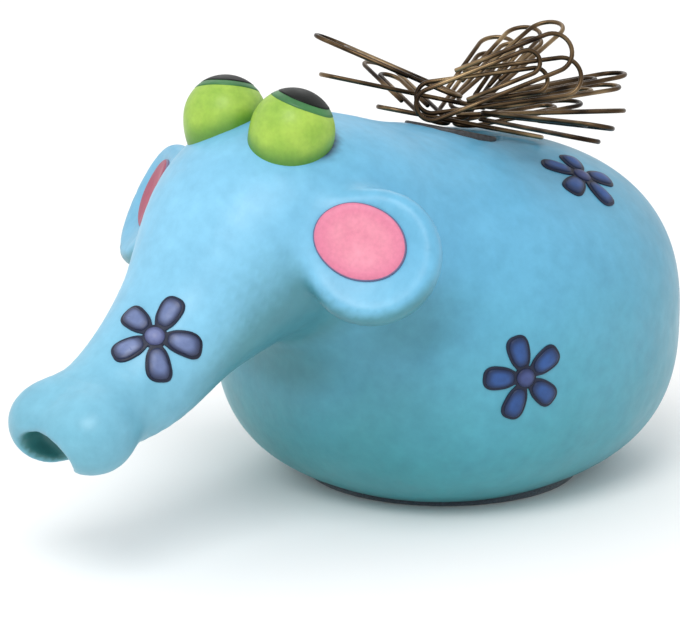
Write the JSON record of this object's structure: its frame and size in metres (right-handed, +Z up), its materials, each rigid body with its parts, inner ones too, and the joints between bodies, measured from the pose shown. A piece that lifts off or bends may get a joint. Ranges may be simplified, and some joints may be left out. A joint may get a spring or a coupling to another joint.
{
  "type": "paper clip holder",
  "caption": "Magnetic paper clip holder: a squat round elephant with a long trunk and bulging eyes, steel paper clips standing from the magnet in its back.",
  "frame": {"origin": "middle of the felt pad's underside, straight below the belly's middle", "axes": "+Z up, the elephant faces -Y, its left side is +X"},
  "size_m": [0.084, 0.1514, 0.0862],
  "materials": {
    "blue_paint": "satin hand-painted sky blue over a cast resin body",
    "lime_paint": "glossy lime green enamel",
    "green_paint": "glossy dark green enamel",
    "black_paint": "glossy black enamel",
    "pink_paint": "satin pink enamel",
    "navy_paint": "satin navy blue enamel",
    "felt": "dark pressed felt",
    "ferrite": "dull dark grey ferrite magnet",
    "clip_wire": "drawn steel wire, slightly brown"
  },
  "bodies": {
    "holder": {"body_casting": "blue_paint", "felt_pad": "felt", "magnet": "ferrite", "eye_left": "lime_paint", "iris_left": "green_paint", "pupil_left": "black_paint", "ear_lining_left": "pink_paint", "eye_right": "lime_paint", "iris_right": "green_paint", "pupil_right": "black_paint", "ear_lining_right": "pink_paint", "flower_trunk_left": "navy_paint", "flower_flank_left": "navy_paint", "flower_rump_left": "navy_paint", "flower_flank_right": "navy_paint", "flower_rump_right": "navy_paint", "flower_rear": "navy_paint"},
    "clip_01": {"paper_clip_01": "clip_wire"},
    "clip_02": {"paper_clip_02": "clip_wire"},
    "clip_03": {"paper_clip_03": "clip_wire"},
    "clip_04": {"paper_clip_04": "clip_wire"},
    "clip_05": {"paper_clip_05": "clip_wire"},
    "clip_06": {"paper_clip_06": "clip_wire"},
    "clip_07": {"paper_clip_07": "clip_wire"},
    "clip_08": {"paper_clip_08": "clip_wire"},
    "clip_09": {"paper_clip_09": "clip_wire"},
    "clip_10": {"paper_clip_10": "clip_wire"},
    "clip_11": {"paper_clip_11": "clip_wire"},
    "clip_12": {"paper_clip_12": "clip_wire"},
    "clip_13": {"paper_clip_13": "clip_wire"},
    "clip_14": {"paper_clip_14": "clip_wire"},
    "clip_15": {"paper_clip_15": "clip_wire"}
  },
  "joints": [
    {"name": "clip_01_pull", "type": "slide", "parent": "holder", "child": "clip_01", "axis": [-0.7071, -0.6827, 0.184], "range_m": [0, 0.04]},
    {"name": "clip_02_pull", "type": "slide", "parent": "holder", "child": "clip_02", "axis": [0.7036, 0.7102, 0.0239], "range_m": [0, 0.04]},
    {"name": "clip_03_pull", "type": "slide", "parent": "holder", "child": "clip_03", "axis": [0.9744, -0.2172, 0.0585], "range_m": [0, 0.04]},
    {"name": "clip_04_pull", "type": "slide", "parent": "holder", "child": "clip_04", "axis": [0.9912, -0.1039, 0.0822], "range_m": [0, 0.04]},
    {"name": "clip_05_pull", "type": "slide", "parent": "holder", "child": "clip_05", "axis": [-0.669, -0.7129, 0.2102], "range_m": [0, 0.04]},
    {"name": "clip_06_pull", "type": "slide", "parent": "holder", "child": "clip_06", "axis": [-0.9132, -0.2843, 0.292], "range_m": [0, 0.04]},
    {"name": "clip_07_pull", "type": "slide", "parent": "holder", "child": "clip_07", "axis": [0.1005, 0.9948, 0.0173], "range_m": [0, 0.04]},
    {"name": "clip_08_pull", "type": "slide", "parent": "holder", "child": "clip_08", "axis": [0.1999, 0.9796, 0.0214], "range_m": [0, 0.04]},
    {"name": "clip_09_pull", "type": "slide", "parent": "holder", "child": "clip_09", "axis": [-0.9042, 0.3767, 0.2013], "range_m": [0, 0.04]},
    {"name": "clip_10_pull", "type": "slide", "parent": "holder", "child": "clip_10", "axis": [0.6113, 0.7839, 0.1087], "range_m": [0, 0.04]},
    {"name": "clip_11_pull", "type": "slide", "parent": "holder", "child": "clip_11", "axis": [0.5221, 0.7832, 0.3377], "range_m": [0, 0.04]},
    {"name": "clip_12_pull", "type": "slide", "parent": "holder", "child": "clip_12", "axis": [0.3234, 0.9426, 0.0831], "range_m": [0, 0.04]},
    {"name": "clip_13_pull", "type": "slide", "parent": "holder", "child": "clip_13", "axis": [-0.3372, 0.8768, 0.3428], "range_m": [0, 0.04]},
    {"name": "clip_14_pull", "type": "slide", "parent": "holder", "child": "clip_14", "axis": [-0.2094, 0.9075, 0.3641], "range_m": [0, 0.04]},
    {"name": "clip_15_pull", "type": "slide", "parent": "holder", "child": "clip_15", "axis": [-0.0696, 0.9248, 0.374], "range_m": [0, 0.04]}
  ]
}
